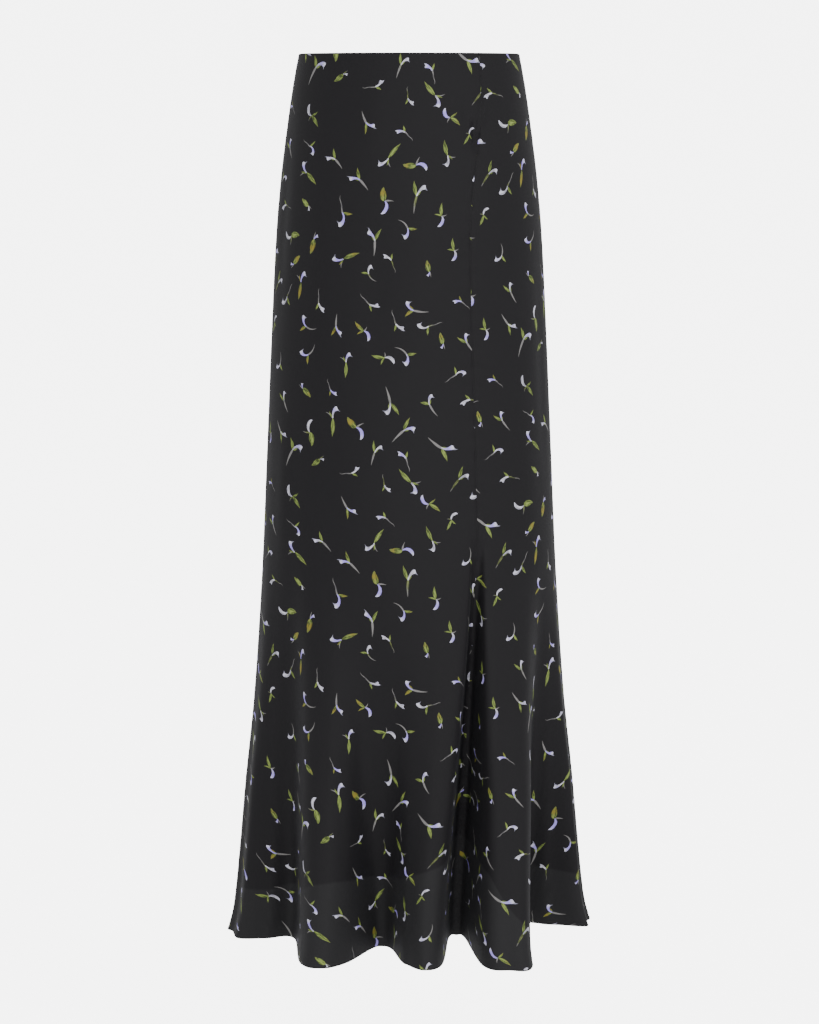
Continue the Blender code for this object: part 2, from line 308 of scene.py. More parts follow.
# The print: small painted sprigs, each of a bloom, a leaf or two and a tapering tail that leave
# one joint. Every arm of a sprig is an outline drawn along it and bent with it. A turn is the way
# the arm leaves the joint and a bend is how far it curves, in degrees; sizes are in millimetres.
STEM, LEAF, BLOOM = 1, 2, 3
Arm = namedtuple("Arm", "dye outline turn length bend width")
Sprig = namedtuple("Sprig", "weight arms")
SPRIGS = [
    Sprig(5, [
        Arm(STEM, "tail", 264, 16.0, 14, 2.8),
        Arm(LEAF, "leaf", 108, 15.0, 16, 3.9),
        Arm(LEAF, "leaf", 48, 7.0, 20, 1.9),
        Arm(BLOOM, "trumpet", 82, 13.0, -66, 4.8),
    ]),
    Sprig(4, [
        Arm(STEM, "tail", 240, 18.0, -20, 2.7),
        Arm(LEAF, "leaf", 28, 13.0, -38, 4.3),
        Arm(LEAF, "leaf", 104, 8.5, -24, 2.0),
        Arm(BLOOM, "trumpet", 58, 14.0, 84, 4.8),
    ]),
    Sprig(4, [
        Arm(STEM, "curly_tail", 282, 17.0, 34, 2.2),
        Arm(LEAF, "leaf", 58, 11.0, -22, 3.0),
        Arm(BLOOM, "trumpet", 88, 14.5, 110, 4.8),
    ]),
    Sprig(4, [
        Arm(STEM, "tail", 272, 9.0, 30, 1.9),
        Arm(LEAF, "broad_leaf", 168, 14.0, 34, 6.4),
        Arm(BLOOM, "crescent", -28, 15.0, 112, 4.7),
    ]),
    Sprig(4, [
        Arm(STEM, "tail", 236, 10.0, -44, 1.8),
        Arm(LEAF, "leaf", 86, 19.0, 10, 4.8),
        Arm(LEAF, "leaf", 226, 8.0, 28, 2.0),
        Arm(BLOOM, "trumpet", 262, 12.0, 64, 4.8),
    ]),
    Sprig(4, [
        Arm(STEM, "tail", 92, 17.0, -10, 2.7),
        Arm(LEAF, "leaf", 242, 16.0, 12, 4.0),
        Arm(LEAF, "leaf", 312, 7.5, -30, 1.9),
        Arm(BLOOM, "trumpet", 276, 12.5, 56, 4.7),
    ]),
    Sprig(4, [
        Arm(STEM, "tail", 172, 6.0, -40, 1.5),
        Arm(LEAF, "leaf", 64, 15.0, 22, 4.2),
        Arm(LEAF, "leaf", 20, 9.0, -34, 2.2),
        Arm(BLOOM, "crescent", 226, 13.5, 104, 4.6),
    ]),
    Sprig(5, [
        Arm(STEM, "curly_tail", 262, 15.0, 46, 2.0),
        Arm(LEAF, "leaf", 122, 8.0, 14, 2.6),
        Arm(BLOOM, "wisp", 86, 10.5, -58, 4.6),
    ]),
    Sprig(4, [
        Arm(STEM, "tail", 282, 14.0, -58, 1.7),
        Arm(LEAF, "leaf", 52, 10.0, -26, 3.2),
        Arm(BLOOM, "trumpet", 98, 11.5, 88, 4.6),
    ]),
    Sprig(2, [
        Arm(LEAF, "broad_leaf", 76, 15.0, 18, 6.6),
        Arm(STEM, "tail", 252, 7.0, 20, 1.6),
        Arm(BLOOM, "wisp", 286, 6.0, 40, 3.0),
    ]),
]

# Outlines on a straight arm: share of its length, and side as a share of half its width. Each
# runs out along the right side and back along the left.
OUTLINES = {
    "trumpet": [
        (0.00, -0.26), (0.20, -0.32), (0.40, -0.44), (0.58, -0.64), (0.74, -0.88), (0.88, -1.00),
        (0.98, -0.84), (1.03, -0.42), (1.01, 0.14), (1.00, 0.70), (1.03, 1.30), (1.12, 2.05),
        (0.98, 1.52), (0.86, 0.98), (0.72, 0.60), (0.54, 0.42), (0.35, 0.34), (0.18, 0.28),
        (0.00, 0.26),
    ],
    "crescent": [
        (0.00, -0.10), (0.13, -0.46), (0.30, -0.84), (0.48, -1.00), (0.66, -0.98), (0.80, -0.78),
        (0.92, -0.40), (1.00, 0.04), (0.90, 0.24), (0.76, 0.52), (0.60, 0.56), (0.42, 0.44),
        (0.24, 0.30), (0.10, 0.18), (0.00, 0.10),
    ],
    "wisp": [
        (0.00, -0.30), (0.28, -0.36), (0.52, -0.56), (0.74, -0.92), (0.92, -1.04), (0.96, -0.52),
        (0.90, 0.06), (0.97, 0.56), (1.06, 1.04), (0.88, 0.98), (0.70, 0.72), (0.50, 0.48),
        (0.26, 0.36), (0.00, 0.30),
    ],
    "leaf": [
        (0.00, -0.12), (0.12, -0.42), (0.27, -0.82), (0.43, -1.00), (0.60, -0.88), (0.76, -0.58),
        (0.90, -0.24), (1.00, 0.00), (0.89, 0.18), (0.75, 0.46), (0.60, 0.76), (0.44, 0.92),
        (0.27, 0.76), (0.12, 0.38), (0.00, 0.12),
    ],
    "broad_leaf": [
        (0.00, -0.14), (0.10, -0.60), (0.24, -0.98), (0.42, -1.06), (0.60, -0.90), (0.75, -0.62),
        (0.86, -0.50), (1.00, -0.06), (0.90, 0.30), (0.78, 0.42), (0.64, 0.82), (0.46, 1.00),
        (0.26, 0.94), (0.11, 0.52), (0.00, 0.14),
    ],
    "curly_tail": [
        (0.00, -0.70), (0.12, -0.30), (0.26, 0.20), (0.40, 0.62), (0.54, 0.50), (0.68, -0.16),
        (0.82, -0.90), (0.93, -0.90), (1.00, -0.30), (0.94, -0.46), (0.82, -0.26), (0.68, 0.56),
        (0.54, 1.36), (0.40, 1.66), (0.26, 1.50), (0.12, 1.10), (0.00, 0.70),
    ],
    "tail": [
        (0.00, -0.70), (0.14, -0.98), (0.32, -0.88), (0.52, -0.62), (0.72, -0.44), (0.88, -0.34),
        (1.00, -0.14), (1.00, 0.14), (0.88, 0.34), (0.72, 0.46), (0.52, 0.70), (0.32, 0.92),
        (0.14, 0.94), (0.00, 0.70),
    ],
}


def bent(arm):
    """The arm's outline, in millimetres from the sprig's joint."""
    radius = arm.length / radians(arm.bend)
    start = radians(arm.turn)
    points = []
    for along, side in OUTLINES[arm.outline]:
        angle = start + radians(arm.bend) * along
        reach = side * arm.width / 2
        x = radius * (sin(angle) - sin(start)) - sin(angle) * reach
        y = radius * (cos(start) - cos(angle)) + cos(angle) * reach
        points.append((x, y))
    return np.array(points)


def unbent(points, arms):
    """The way back: the share along, and the side, of points in millimetres from their joints."""
    turn, length, bend, width = arms.T
    radius = length / np.radians(bend)
    start = np.radians(turn)
    x = points[:, 0] + radius * np.sin(start)
    y = points[:, 1] - radius * np.cos(start)
    way = np.sign(radius)
    angle = np.arctan2(x * way, -y * way) - start
    angle = (angle + pi) % (2 * pi) - pi
    side = (radius - way * np.hypot(x, y)) / (width / 2)
    return np.stack([angle / np.radians(bend), side], axis=1)


# The repeat: one tile of the print, laid side by side with each next column half a tile lower
TILE_WIDTH = 0.232
TILE_HEIGHT = 0.404
SPRIGS_TO_A_TILE = 66
PRINT_SEED = 41
PLACES_TRIED = 16
TURNS_TRIED = 9
NEIGHBOUR_WITHIN = 0.06

# Sprigs stand upright or head down, give or take the lean in degrees, and vary in size
LEAN = 38.0
SMALLEST = 0.80
SIZE_RANGE = 0.32


def half_drop_gap(a, b):
    """How far apart two places in the repeat are, counting its neighbouring tiles."""
    gap = 1e9
    for column in (-1, 0, 1):
        for row in (-2, -1, 0, 1, 2):
            dx = a[0] - b[0] + column * TILE_WIDTH
            dy = a[1] - b[1] + row * TILE_HEIGHT + (column % 2) * TILE_HEIGHT / 2
            gap = min(gap, (dx * dx + dy * dy) ** 0.5)
    return gap


def spine(sprig, place, turn, size):
    """The middle and the tip of every arm of a laid sprig, to keep sprigs off each other."""
    found = []
    for arm in SPRIGS[sprig].arms:
        for share in (0.5, 1.0):
            angle = radians(arm.turn + arm.bend * share / 2 + turn)
            reach = arm.length * share * size * 0.001
            found.append((place[0] + reach * cos(angle), place[1] + reach * sin(angle)))
    return found


def lay_out_tile():
    """The sprigs of one tile: (kind, place, turn, size, tone). Each takes the widest gap of a few
    places, then the turn that keeps its arms clearest of its neighbours'."""
    chance = np.random.RandomState(PRINT_SEED)
    kinds = [i for i, sprig in enumerate(SPRIGS) for _ in range(sprig.weight)]
    laid = []
    arms_laid = []
    for _ in range(SPRIGS_TO_A_TILE):
        place = max(
            (chance.rand(2) * (TILE_WIDTH, TILE_HEIGHT) for _ in range(PLACES_TRIED)),
            key=lambda p: min([half_drop_gap(p, other[1]) for other in laid], default=1.0),
        )
        kind = kinds[chance.randint(len(kinds))]
        size = SMALLEST + SIZE_RANGE * chance.rand()
        near = []
        for other, arms in zip(laid, arms_laid):
            if half_drop_gap(place, other[1]) < NEIGHBOUR_WITHIN:
                near += arms
        turn = max(
            (180 * chance.randint(2) + LEAN * chance.randn() for _ in range(TURNS_TRIED)),
            key=lambda t: min(
                [half_drop_gap(p, q) for p in spine(kind, place, t, size) for q in near],
                default=1.0,
            ),
        )
        laid.append((kind, place, turn, size, chance.rand()))
        arms_laid.append(spine(kind, place, turn, size))
    return laid


tile = lay_out_tile()

# One printed part as it lies on a pattern piece: its outline in metres, its dye and tone, and
# the joint, turn, size and arm it came from
Part = namedtuple("Part", "outline dye tone joint turn size arm")

# A sprig whose joint lies this near a piece may still reach onto it
SPRIG_REACH = 0.03


def printed_parts(pattern, chart_across, chart_down):
    """Every printed part that falls on a pattern piece."""
    reach = float(pattern.half.max()) + SPRIG_REACH
    columns = range(int(-reach / TILE_WIDTH) - 2, int(reach / TILE_WIDTH) + 3)
    rows = range(-2, int(LENGTH / TILE_HEIGHT) + 3)
    found = []
    for column, row in ((c, r) for c in columns for r in rows):
        lower = (column % 2) * TILE_HEIGHT / 2
        for kind, place, turn, size, tone in tile:
            x = place[0] + column * TILE_WIDTH + chart_across
            y = place[1] + row * TILE_HEIGHT + lower + chart_down
            if not -SPRIG_REACH < y < LENGTH + SPRIG_REACH:
                continue
            if abs(x) > pattern.half_width(min(max(y, 0), LENGTH)) + SPRIG_REACH:
                continue
            c, s = cos(radians(turn)), sin(radians(turn))
            turned = np.array([[c, s], [-s, c]]) * 0.001 * size
            for arm in SPRIGS[kind].arms:
                outline = bent(arm) @ turned + (x, y)
                found.append(Part(outline, arm.dye, tone, (x, y), turn, size, arm))
    return found


# How finely the cloth is cut into triangles: gaps and steps in metres, how far the cloth turns in
# one step in radians, and how many places its turning is smoothed over
ROW_GAP = 0.0065
WIDEST_STEP = 0.0075
LEAST_STEP = 0.0014
TURN_TO_A_STEP = 0.22
SMOOTHED_OVER = 13
SEAM_STEPS = (0.0009, 0.0022, 0.0045)
CLEAR_OF_SEAM = 0.006
CLEAR_OF_TOP_CORNER = 0.003
CLEAR_OF_HEM_CORNER = 0.0005
LEAST_GAP = 0.0016


def even_turns(pattern, row):
    """Places across one row of a piece, closer where the cloth turns sharply."""
    inside = (arc[row] > pattern.start[row]) & (arc[row] < pattern.end[row])
    points = hung[row][inside][:, :2]
    way = np.unwrap(np.arctan2(*np.gradient(points, axis=0).T[::-1]))
    step = np.linalg.norm(np.gradient(points, axis=0), axis=1)
    curve = np.abs(np.gradient(way)) / step
    curve = np.pad(curve, SMOOTHED_OVER // 2, mode="edge")
    curve = np.convolve(curve, np.ones(SMOOTHED_OVER) / SMOOTHED_OVER, mode="valid")
    gap = np.clip(TURN_TO_A_STEP / np.maximum(curve, 1e-6), LEAST_STEP, WIDEST_STEP)
    count = np.concatenate([[0], np.cumsum(step[1:] / gap[1:])])
    across = arc[row][inside] - pattern.middle[row]
    first = 0.5 if (row // 3) % 2 else 1.0
    return np.interp(np.arange(first, count[-1], 1.0), count, across)


def flat_mesh(pattern, parts):
    """The piece cut into triangles along every printed edge: flat points, triangles, and the
    number of the part that each triangle is painted with, or -1."""
    row_count = round(LENGTH / ROW_GAP)
    rows = [round(i * (len(DROPS) - 1) / row_count) for i in range(row_count + 1)]
    left = [(-pattern.half[row], DROPS[row]) for row in rows]
    right = [(pattern.half[row], DROPS[row]) for row in rows]
    top_end = pattern.half[0] - CLEAR_OF_TOP_CORNER
    hem_end = pattern.half[-1] - CLEAR_OF_HEM_CORNER
    top = [(x, 0.0) for x in even_turns(pattern, 0) if abs(x) < top_end]
    hem = [(x, LENGTH) for x in even_turns(pattern, -1) if abs(x) < hem_end]
    points = top + right + hem[::-1] + left[::-1]
    faces = [list(range(len(points)))]
    for part in parts:
        faces.append(list(range(len(points), len(points) + len(part.outline))))
        points += [tuple(p) for p in part.outline]
    taken = {(round(x / LEAST_GAP), round(y / LEAST_GAP)) for x, y in points}
    for row in rows[1:-1]:
        half = pattern.half[row]
        places = [x for x in even_turns(pattern, row) if abs(x) < half - CLEAR_OF_SEAM]
        places += [side * (half - step) for side in (-1, 1) for step in SEAM_STEPS]
        for x in places:
            cell = (round(x / LEAST_GAP), round(DROPS[row] / LEAST_GAP))
            if cell not in taken:
                points.append((x, DROPS[row]))
    scaled = [Vector((x * 1000, y * 1000)) for x, y in points]
    flat, _, triangles, _, _, inside = delaunay_2d_cdt(scaled, [], faces, 0, 1e-4, True)
    kept = []
    owners = []
    for triangle, within in zip(triangles, inside):
        if 0 not in within:
            continue
        painted = [face - 1 for face in within if face]
        kept.append(triangle)
        owners.append(max(painted, key=lambda i: parts[i].dye, default=-1))
    return np.array([(v.x, v.y) for v in flat]) * 0.001, np.array(kept), np.array(owners)


def motif_places(flat, triangles, owners, parts):
    """For each corner of each triangle, where it lies on the arm it is painted with."""
    places = np.zeros((len(triangles), 3, 2))
    painted = np.flatnonzero(owners >= 0)
    own = [parts[i] for i in owners[painted]]
    joint = np.array([part.joint for part in own])
    turn = np.radians([part.turn for part in own])
    size = np.array([part.size for part in own]) * 0.001
    arms = np.array([(p.arm.turn, p.arm.length, p.arm.bend, p.arm.width) for p in own])
    for corner in range(3):
        x, y = (flat[triangles[painted, corner]] - joint).T
        back = np.stack([x * np.cos(turn) + y * np.sin(turn), y * np.cos(turn) - x * np.sin(turn)])
        places[painted, corner] = unbent((back / size).T, arms)
    return places


# The lining's lower edge, as it shows through the sheer cloth, where the painted light below it
# begins: a girth and the drop where it shows
PAINTED_LIGHT_FROM = np.array([
    (-12, 0.905), (0, 0.915), (29, 0.915), (42, 0.905), (52, 0.884), (62, 0.880), (70, 0.884),
    (79, 0.890), (87, 0.884), (92, 0.870), (99, 0.862), (106, 0.856), (116, 0.850),
    (124, 0.856), (131, 0.872), (137, 0.905), (143, 0.928), (149, 0.935), (155, 0.900),
    (165, 0.908), (180, 0.915), (198, 0.900),
    (214, 0.880), (229, 0.895), (243, 0.878), (257, 0.892), (271, 0.876), (285, 0.892),
    (299, 0.878), (313, 0.895), (328, 0.880), (344, 0.898), (360, 0.915), (372, 0.915),
])

FRONT_SEAM_SINK = 0.0010
SIDE_SEAM_SINK = 0.0002
SINK_FADES_FROM = 0.012
TURNED_IN_WIDTH = 0.0013
PUCKER_WIDTH = 0.009
PUCKER_SHARE = 0.30
# The pucker swells and fades down the seam in three unlike waves, in radians a metre
PUCKER_WAVES = (330, 208, 41)
SECOND_WAVE_SHARE = 0.6
SECOND_WAVE_PHASE = 1.3


def seam_sink(pattern, across, down):
    """How far the cloth sinks at its two seamed edges, with the small uneven pucker beside them."""
    gap = pattern.half_width(down) - np.abs(across)
    first, second, slow = PUCKER_WAVES
    ripple = SECOND_WAVE_SHARE * np.sin(down * second + SECOND_WAVE_PHASE) * np.cos(down * slow)
    ripple += np.sin(down * first)
    turned_in = np.exp(-((gap / TURNED_IN_WIDTH) ** 2))
    pucker = PUCKER_SHARE * (1 + ripple) * np.exp(-((gap / PUCKER_WIDTH) ** 2))
    deep = np.where(across > 0, pattern.end_sink, pattern.start_sink)
    return deep * (turned_in + pucker) * smooth((LENGTH - down) / SINK_FADES_FROM)


def tipped(outward, pattern, girths, across, down):
    """The outward directions, tipped by the slopes of the seam's sink."""
    step = 0.0002
    over = seam_sink(pattern, across + step, down) - seam_sink(pattern, across - step, down)
    under = seam_sink(pattern, across, down + step) - seam_sink(pattern, across, down - step)
    along = read(hung_across, girths, down) * (over / (2 * step))[:, None]
    below = read(hung_down, girths, down) * (under / (2 * step))[:, None]
    return unit(outward + along + below)


def add_object(name, data):
    thing = bpy.data.objects.new(name, data)
    bpy.context.scene.collection.objects.link(thing)
    return thing


def cloth_mesh(name, pattern, parts):
    """The hung piece: an outer and an inner face, with the cloth's own edges between them."""
    flat, triangles, owners = flat_mesh(pattern, parts)
    dyes = [parts[i].dye if i >= 0 else 0 for i in owners]
    tones = [parts[i].tone if i >= 0 else 0.5 for i in owners]
    motif = motif_places(flat, triangles, owners, parts)
    across, down = flat.T
    girths = pattern.girth(across, down)
    outward = unit(read(hung_outward, girths, down))
    outer = read(hung, girths, down) - outward * seam_sink(pattern, across, down)[:, None]
    inner = outer - outward * SILK_THICKNESS
    outward = tipped(outward, pattern, girths, across, down)
    count = len(outer)
    outside = triangles[:, ::-1]
    inside = triangles + count
    edges = dict.fromkeys(e for a, b, c in outside for e in ((a, b), (b, c), (c, a)))
    rim = [(b, a, a + count, b + count) for a, b in edges if (b, a) not in edges]
    faces = [tuple(f) for f in outside] + [tuple(f) for f in inside] + rim
    mesh = bpy.data.meshes.new(name)
    mesh.from_pydata(np.vstack([outer, inner]).tolist(), [], [tuple(map(int, f)) for f in faces])
    mesh.polygons.foreach_set("use_smooth", [True] * len(faces))
    mesh.polygons.foreach_set("material_index", dyes + dyes + [0] * len(rim))
    tone = mesh.attributes.new("tone", "FLOAT", "FACE")
    tone.data.foreach_set("value", tones + tones + [0.5] * len(rim))
    # Painted light: how far each point lies below the lining's edge, where the silk colour is
    # painted paler for light shining through
    shows = np.interp(girths, PAINTED_LIGHT_FROM[:, 0], PAINTED_LIGHT_FROM[:, 1])
    below = mesh.attributes.new("below_lining_painted_light", "FLOAT", "POINT")
    below.data.foreach_set("value", np.tile(down - shows, 2))
    corners = np.zeros(len(mesh.loops), int)
    mesh.loops.foreach_get("vertex_index", corners)
    uv = mesh.uv_layers.new(name="cloth")
    flat_corners = np.vstack([flat, flat])[corners]
    uv.data.foreach_set("uv", flat_corners.ravel())
    drawn = mesh.uv_layers.new(name="motif")
    unpainted = np.zeros((len(rim) * 4, 2))
    sides = [motif[:, ::-1].reshape(-1, 2), motif.reshape(-1, 2), unpainted]
    drawn.data.foreach_set("uv", np.vstack(sides).ravel())
    normals = np.vstack([outward, -outward])[corners]
    rim_corners = slice(len(mesh.loops) - 4 * len(rim), None)
    places = np.vstack([outer, inner])[corners[rim_corners]].reshape(-1, 4, 3)
    flat_normals = unit(np.cross(places[:, 2] - places[:, 0], places[:, 3] - places[:, 1]))
    normals[rim_corners] = np.repeat(flat_normals, 4, axis=0)
    mesh.normals_split_custom_set(normals.tolist())
    return add_object(name, mesh)


def new_tree(name, kind, inputs, outputs):
    """An empty node tree with named inputs and outputs."""
    tree = bpy.data.node_groups.new(name, kind)
    for label, socket_kind, value in inputs:
        socket = tree.interface.new_socket(label, in_out="INPUT", socket_type=socket_kind)
        if value is not None:
            socket.default_value = value
    for label, socket_kind in outputs:
        tree.interface.new_socket(label, in_out="OUTPUT", socket_type=socket_kind)
    given = tree.nodes.new("NodeGroupInput").outputs
    result = tree.nodes.new("NodeGroupOutput").inputs
    return tree, given, result


def placed(tree, kind, inputs, **settings):
    """Puts a node in a tree and gives its outputs. Each of its inputs is another node's output or
    a plain value."""
    node = tree.nodes.new(kind)
    for setting, value in settings.items():
        setattr(node, setting, value)
    for label, value in inputs.items():
        if isinstance(value, bpy.types.NodeSocket):
            tree.links.new(value, node.inputs[label])
        else:
            node.inputs[label].default_value = value
    return node.outputs


THREADS_PER_METRE = 2600.0
THREAD_WAVE = {"Scale": 0.32, "Distortion": 2.4, "Detail Scale": 0.6}
PEBBLE = {"Scale": 0.42, "Detail": 2.0}
UNEVEN_DYE = {"Scale": 26.0, "Detail": 3.0}


def crepe_group():
    """Crepe: hard-twisted threads that give the cloth its fine pebbled face. Puts out a height,
    and a shade near 1 that varies a little with the threads and with slow uneven dyeing."""
    tree, given, result = new_tree(
        "crepe_weave", "ShaderNodeTree",
        [
            ("Cloth", "NodeSocketVector", None),
            ("Threads per metre", "NodeSocketFloat", THREADS_PER_METRE),
            ("Pebble", "NodeSocketFloat", 0.5),
            ("Unevenness", "NodeSocketFloat", 0.10),
        ],
        [("Height", "NodeSocketFloat"), ("Shade", "NodeSocketFloat")],
    )
    scaled = placed(
        tree, "ShaderNodeVectorMath",
        {0: given["Cloth"], "Scale": given["Threads per metre"]}, operation="SCALE",
    )
    at_threads = {"Vector": scaled["Vector"]}
    warp = placed(tree, "ShaderNodeTexWave", at_threads | THREAD_WAVE, bands_direction="X")
    weft = placed(tree, "ShaderNodeTexWave", at_threads | THREAD_WAVE, bands_direction="Y")
    pebble = placed(tree, "ShaderNodeTexNoise", at_threads | PEBBLE)
    threads = placed(
        tree, "ShaderNodeMath", {0: warp["Fac"], 1: weft["Fac"]}, operation="MAXIMUM"
    )
    height = placed(
        tree, "ShaderNodeMix", {"Factor": given["Pebble"], "A": threads[0], "B": pebble["Fac"]}
    )["Result"]
    slow = placed(tree, "ShaderNodeTexNoise", {"Vector": given["Cloth"]} | UNEVEN_DYE)
    both = placed(tree, "ShaderNodeMath", {0: slow["Fac"], 1: height}, operation="ADD")
    centred = placed(tree, "ShaderNodeMath", {0: both[0], 1: 1.0}, operation="SUBTRACT")
    shade = placed(
        tree, "ShaderNodeMath", {0: centred[0], 1: given["Unevenness"], 2: 1.0},
        operation="MULTIPLY_ADD",
    )
    tree.links.new(height, result["Height"])
    tree.links.new(shade[0], result["Shade"])
    return tree


crepe = crepe_group()

Finish = namedtuple("Finish", "roughness specular sheen sheen_tint bump bump_depth")
SILK_SHEEN_TINT = (0.86, 0.86, 0.95, 1.0)
SHEEN_ROUGHNESS = 0.42


def cloth_material(name, finish, uv_map="cloth", **weave_values):
    """A cloth shader with the crepe's pebbled bump. It reads the flat pattern's own UV map, or
    the object's coordinates where the cloth has no such map."""
    material = bpy.data.materials.new(name)
    material.use_nodes = True
    tree = material.node_tree
    if uv_map:
        place = placed(tree, "ShaderNodeUVMap", {}, uv_map=uv_map)["UV"]
    else:
        place = placed(tree, "ShaderNodeTexCoord", {})["Object"]
    weave = placed(tree, "ShaderNodeGroup", {"Cloth": place} | weave_values, node_tree=crepe)
    bump = placed(
        tree, "ShaderNodeBump",
        {"Strength": finish.bump, "Distance": finish.bump_depth, "Height": weave["Height"]},
    )
    shader = tree.nodes["Principled BSDF"].inputs
    shader["Roughness"].default_value = finish.roughness
    shader["Specular IOR Level"].default_value = finish.specular
    shader["Sheen Weight"].default_value = finish.sheen
    shader["Sheen Roughness"].default_value = SHEEN_ROUGHNESS
    shader["Sheen Tint"].default_value = finish.sheen_tint
    tree.links.new(bump["Normal"], shader["Normal"])
    return material, tree, weave


def shaded(tree, colour, weave):
    """Colour times the weave's shade, into the shader's base colour."""
    times = placed(
        tree, "ShaderNodeVectorMath", {0: colour, "Scale": weave["Shade"]}, operation="SCALE"
    )
    tree.links.new(times["Vector"], tree.nodes["Principled BSDF"].inputs["Base Color"])


def blend(tree, share, first, second):
    """A mix of two colours, each a plain colour or a node's output."""
    first, second = ((*c, 1.0) if isinstance(c, tuple) else c for c in (first, second))
    colours = {"Factor": share, "A": first, "B": second}
    return placed(tree, "ShaderNodeMix", colours, data_type="RGBA")["Result"]


SILK_GROUND = Finish(0.64, 0.19, 0.03, SILK_SHEEN_TINT, 0.35, 0.00012)
# Where no lining stands behind the silk, its paler colour is painted light shining through the
# sheer cloth
SILK_LINED = (0.0078, 0.0072, 0.0086)
SILK_PAINTED_LIT_THROUGH = (0.0142, 0.0139, 0.0152)
PAINTED_LIGHT_EDGE_BLUR = 0.0015


def silk_ground():
    """Black silk, painted a little paler where no lining stands behind the sheer cloth: painted
    light shining through it.
    """
    material, tree, weave = cloth_material("silk_crepe_black", SILK_GROUND)
    below = placed(tree, "ShaderNodeAttribute", {}, attribute_name="below_lining_painted_light")
    edge = {"Value": below["Fac"], "From Min": -PAINTED_LIGHT_EDGE_BLUR, "From Max": PAINTED_LIGHT_EDGE_BLUR}
    lit_through = placed(tree, "ShaderNodeMapRange", edge)["Result"]
    shaded(tree, blend(tree, lit_through, SILK_LINED, SILK_PAINTED_LIT_THROUGH), weave)
    return material


def ramp(tree, value, low, high):
    """A smooth 0 to 1 as the value goes from low to high."""
    ends = {"Value": value, "From Min": low, "From Max": high}
    return placed(tree, "ShaderNodeMapRange", ends, interpolation_type="SMOOTHSTEP")["Result"]


def summed(tree, first, second, share):
    """The first value plus a share of the second."""
    values = {0: second, 1: share, 2: first}
    return placed(tree, "ShaderNodeMath", values, operation="MULTIPLY_ADD")[0]


# How the dyes are brushed on: the streaks' size and how far each sprig's own streaks are shifted,
# then where along its ramp each colour comes in, and how dark the edge is
SILK_DYED = Finish(0.60, 0.20, 0.02, SILK_SHEEN_TINT, 0.35, 0.00012)
DYE_UNEVENNESS = 0.30
STREAK = {"Scale": 1.5, "Detail": 2.5}
STREAK_STRETCH = (1.5, 1.7, 0.0)
STREAK_SHIFT = (31.0, 17.0, 47.0)
STREAK_SHARE = 0.8
STREAK_SHARE_AT_TIP = 0.4
LIGHT_STREAKS = (0.38, 0.60)
VARIED_ALONG = 0.45
VARIED_OVER = 0.22
TIP_ALONG = (0.80, 1.20)
EDGE_OVER = 0.45
EDGE_DIM = (0.42, 0.42, 0.46)

Dye = namedtuple("Dye", "name dark light varied varied_from tip edge_from")
PAINTED = [
    Dye(
        "print_tail", (0.055, 0.065, 0.022), (0.170, 0.195, 0.064), (0.185, 0.178, 0.176), 0.66,
        (0.120, 0.116, 0.114), 1.00,
    ),
    Dye(
        "print_leaf", (0.045, 0.062, 0.015), (0.230, 0.300, 0.070), (0.230, 0.185, 0.026), 1.42,
        (0.130, 0.160, 0.040), 0.95,
    ),
    Dye(
        "print_bloom", (0.235, 0.228, 0.290), (0.640, 0.630, 0.700), (0.350, 0.290, 0.760), 1.08,
        (0.610, 0.600, 0.710), 0.98,
    ),
]


def painted_dye(dye):
    """A dye laid on with a brush: dark and light streaks along the arm, another colour on some
    sprigs and towards the end of an arm, a third at its tip, and a dark uneven edge."""
    material, tree, weave = cloth_material(dye.name, SILK_DYED, Unevenness=DYE_UNEVENNESS)
    place = placed(tree, "ShaderNodeUVMap", {}, uv_map="motif")["UV"]
    along, side, _ = placed(tree, "ShaderNodeSeparateXYZ", {"Vector": place})
    tone = placed(tree, "ShaderNodeAttribute", {}, attribute_name="tone")["Fac"]
    shift = placed(
        tree, "ShaderNodeVectorMath", {0: STREAK_SHIFT, "Scale": tone}, operation="SCALE"
    )
    own = placed(
        tree, "ShaderNodeVectorMath", {0: place, 1: STREAK_STRETCH, 2: shift["Vector"]},
        operation="MULTIPLY_ADD",
    )
    streak = placed(tree, "ShaderNodeTexNoise", {"Vector": own["Vector"]} | STREAK)["Fac"]
    body = blend(tree, ramp(tree, streak, *LIGHT_STREAKS), dye.dark, dye.light)
    late = summed(tree, summed(tree, tone, along, VARIED_ALONG), streak, STREAK_SHARE)
    late = ramp(tree, late, dye.varied_from, dye.varied_from + VARIED_OVER)
    body = blend(tree, late, body, dye.varied)
    at_tip = ramp(tree, summed(tree, along, streak, STREAK_SHARE_AT_TIP), *TIP_ALONG)
    body = blend(tree, at_tip, body, dye.tip)
    away = placed(tree, "ShaderNodeMath", {0: side}, operation="ABSOLUTE")[0]
    rough = summed(tree, away, streak, STREAK_SHARE)
    at_edge = ramp(tree, rough, dye.edge_from, dye.edge_from + EDGE_OVER)
    dim = blend(tree, at_edge, (1.0, 1.0, 1.0), EDGE_DIM)
    times = placed(tree, "ShaderNodeVectorMath", {0: body, 1: dim}, operation="MULTIPLY")
    shaded(tree, times["Vector"], weave)
    return material


CLOTHS = [silk_ground()] + [painted_dye(dye) for dye in PAINTED]


def printed_panel(name, node, start, end, sinks, chart_across, chart_down):
    """A printed piece of the skirt in place of its CAD node, and its flat pattern."""
    pattern = Pattern(start, end, *sinks)
    piece = cloth_mesh(name, pattern, printed_parts(pattern, chart_across, chart_down))
    for material in CLOTHS:
        piece.data.materials.append(material)
    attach(piece, "root")
    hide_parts(node)
    return piece, pattern


side_seam_right = np.zeros(len(DROPS))
side_seam_left = np.full(len(DROPS), 180.0)
front_seam = seam_line(DROPS)

